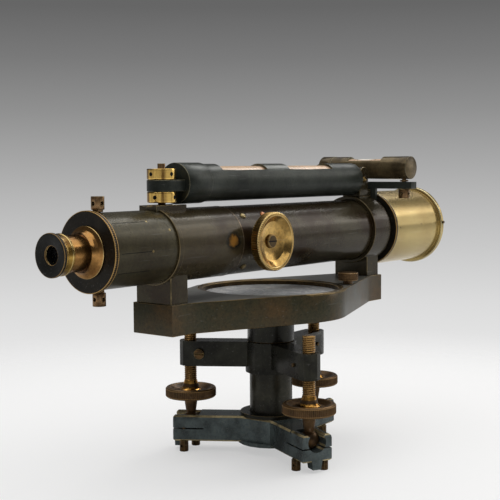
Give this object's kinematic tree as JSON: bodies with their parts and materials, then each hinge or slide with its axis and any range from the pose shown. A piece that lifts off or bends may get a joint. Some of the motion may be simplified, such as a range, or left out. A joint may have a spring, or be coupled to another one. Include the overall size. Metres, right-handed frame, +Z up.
{
  "type": "surveyor's dumpy level",
  "caption": "Dumpy level: telescope fixed on a stage with sunk compass, bubble tube above, cross level, tribrach and trivet with levelling screws.",
  "frame": {"origin": "on the vertical axis of rotation, in the plane of the tripod head's plate, 9 mm below the trivet's seat", "axes": "+Z up along the vertical axis; +X along the telescope from the eye end to the object end; the focusing knob is on the -Y side"},
  "size_m": [0.3948, 0.1366, 0.2103],
  "materials": {
    "black_bronze": "oxidised bronze, nearly black, brassy at the edges",
    "blue_black": "blue-black bronzed metal, worn bright at the edges",
    "olive_bronze": "dark olive oxidised bronze",
    "green_black": "dark green-grey bronzed metal",
    "brass": "lacquered brass, worn",
    "worn_brass": "reddish worn brass",
    "pale_brass": "pale polished brass",
    "steel": "blued and bare steel",
    "silvered": "silvered brass, mottled with age",
    "glass": "clear glass",
    "vial_glass": "ground glass vial filled with spirit"
  },
  "bodies": {
    "trivet": {"trivet_plate": "blue_black", "socket_clamp_screw_1": "worn_brass", "socket_clamp_screw_2": "worn_brass", "socket_clamp_screw_3": "worn_brass", "socket_clamp_screw_4": "worn_brass", "socket_clamp_screw_5": "worn_brass", "socket_clamp_screw_6": "worn_brass", "centre_ring": "black_bronze"},
    "tribrach_body": {"tribrach": "black_bronze", "centre_column": "black_bronze", "arm_clamp_screw_1": "worn_brass", "arm_clamp_screw_2": "worn_brass", "arm_clamp_screw_3": "worn_brass"},
    "levelling_screw_1": {"foot_screw_1": "worn_brass"},
    "levelling_screw_2": {"foot_screw_2": "worn_brass"},
    "levelling_screw_3": {"foot_screw_3": "worn_brass"},
    "limb": {"spindle": "black_bronze", "spindle_nut": "steel", "stage_plate": "black_bronze", "compass_bezel": "brass", "compass_glass": "glass", "compass_dial": "silvered", "compass_pivot": "brass", "eye_standard": "olive_bronze", "objective_standard": "olive_bronze", "barrel": "olive_bronze", "pinion_bearing": "worn_brass", "cover_screw_1": "brass", "cover_screw_2": "brass", "cover_screw_3": "brass", "cover_screw_4": "brass", "eye_tube": "olive_bronze", "eye_plate": "black_bronze", "eyepiece_socket": "brass", "diaphragm_ring": "brass", "diaphragm_screw_top": "brass", "diaphragm_screw_bottom": "brass", "level_stud": "brass", "level_hinge_post": "olive_bronze", "level_hinge_pin": "brass", "cross_bracket": "green_black"},
    "needle": {"compass_needle": "steel"},
    "lifter": {"needle_lifter": "worn_brass"},
    "objective_slide": {"draw_tube": "brass", "objective_cell": "black_bronze", "objective_lens": "glass"},
    "knob": {"focus_knob": "brass", "pinion": "steel", "knob_screw": "black_bronze"},
    "shade": {"ray_shade": "pale_brass"},
    "eyepiece": {"eyepiece_barrel": "brass", "eyecup": "black_bronze", "eye_lens": "glass"},
    "main_level": {"level_case": "green_black", "level_vial": "vial_glass"},
    "level_top_nut": {"level_nut_top": "brass"},
    "level_bottom_nut": {"level_nut_bottom": "brass"},
    "cross_level": {"cross_level_case": "olive_bronze", "cross_vial": "vial_glass"},
    "cross_screw": {"cross_level_screw": "brass"}
  },
  "joints": [
    {"name": "tribrach_lift", "type": "slide", "parent": "trivet", "child": "tribrach_body", "axis": [0, 0, 1], "range_m": [-0.0025, 0.0025]},
    {"name": "foot_screw_1_turn", "type": "hinge", "parent": "trivet", "child": "levelling_screw_1", "pos_m": [0.05786, 0.00405, 0.0439], "axis": [0, 0, 1], "range_deg": [-605, 605]},
    {"name": "foot_screw_2_turn", "type": "hinge", "parent": "trivet", "child": "levelling_screw_2", "pos_m": [-0.03243, 0.04808, 0.0439], "axis": [0, 0, 1], "range_deg": [-605, 605]},
    {"name": "foot_screw_3_turn", "type": "hinge", "parent": "trivet", "child": "levelling_screw_3", "pos_m": [-0.02543, -0.05213, 0.0439], "axis": [0, 0, 1], "range_deg": [-605, 605]},
    {"name": "limb_turn", "type": "hinge", "parent": "tribrach_body", "child": "limb", "pos_m": [0, 0, 0.09], "axis": [0, 0, 1], "continuous": true},
    {"name": "needle_swing", "type": "hinge", "parent": "limb", "child": "needle", "pos_m": [0, 0, 0.112], "axis": [0, 0, 1], "continuous": true},
    {"name": "needle_lifter_turn", "type": "hinge", "parent": "limb", "child": "lifter", "pos_m": [0.0464, -0.03496, 0.122], "axis": [0, 0, 1], "range_deg": [0, 180]},
    {"name": "focus_slide", "type": "slide", "parent": "limb", "child": "objective_slide", "axis": [1, 0, 0], "range_m": [0, 0.035]},
    {"name": "focus_knob_turn", "type": "hinge", "parent": "limb", "child": "knob", "pos_m": [-0.039, -0.03, 0.1558], "axis": [0, 1, 0], "range_deg": [-670, 2]},
    {"name": "ray_shade_slide", "type": "slide", "parent": "objective_slide", "child": "shade", "axis": [1, 0, 0], "range_m": [0, 0.022]},
    {"name": "eyepiece_slide", "type": "slide", "parent": "limb", "child": "eyepiece", "axis": [-1, 0, 0], "range_m": [0, 0.005]},
    {"name": "main_level_tilt", "type": "hinge", "parent": "limb", "child": "main_level", "pos_m": [0.109, 0, 0.1949], "axis": [0, 1, 0], "range_deg": [-0.2, 0.35]},
    {"name": "top_nut_travel", "type": "slide", "parent": "limb", "child": "level_top_nut", "axis": [0, 0, 1], "range_m": [-0.0008, 0.00136]},
    {"name": "bottom_nut_travel", "type": "slide", "parent": "limb", "child": "level_bottom_nut", "axis": [0, 0, 1], "range_m": [-0.0008, 0.00136]},
    {"name": "cross_level_tilt", "type": "hinge", "parent": "limb", "child": "cross_level", "pos_m": [0.1233, 0.034, 0.19005], "axis": [1, 0, 0], "range_deg": [-0.3, 0.3]},
    {"name": "cross_screw_turn", "type": "hinge", "parent": "limb", "child": "cross_screw", "pos_m": [0.1233, -0.0353, 0.1838], "axis": [0, 0, 1], "range_deg": [-190, 190]}
  ],
  "couplings": [
    {"joint": "foot_screw_1_turn", "follows": "tribrach_lift", "rad_per_m": -4188.8},
    {"joint": "foot_screw_2_turn", "follows": "tribrach_lift", "rad_per_m": -4188.8},
    {"joint": "foot_screw_3_turn", "follows": "tribrach_lift", "rad_per_m": -4188.8},
    {"joint": "focus_knob_turn", "follows": "focus_slide", "rad_per_m": -333.33},
    {"joint": "top_nut_travel", "follows": "main_level_tilt", "m_per_rad": 0.2194},
    {"joint": "bottom_nut_travel", "follows": "main_level_tilt", "m_per_rad": 0.2194},
    {"joint": "cross_screw_turn", "follows": "cross_level_tilt", "ratio": 622.04}
  ]
}
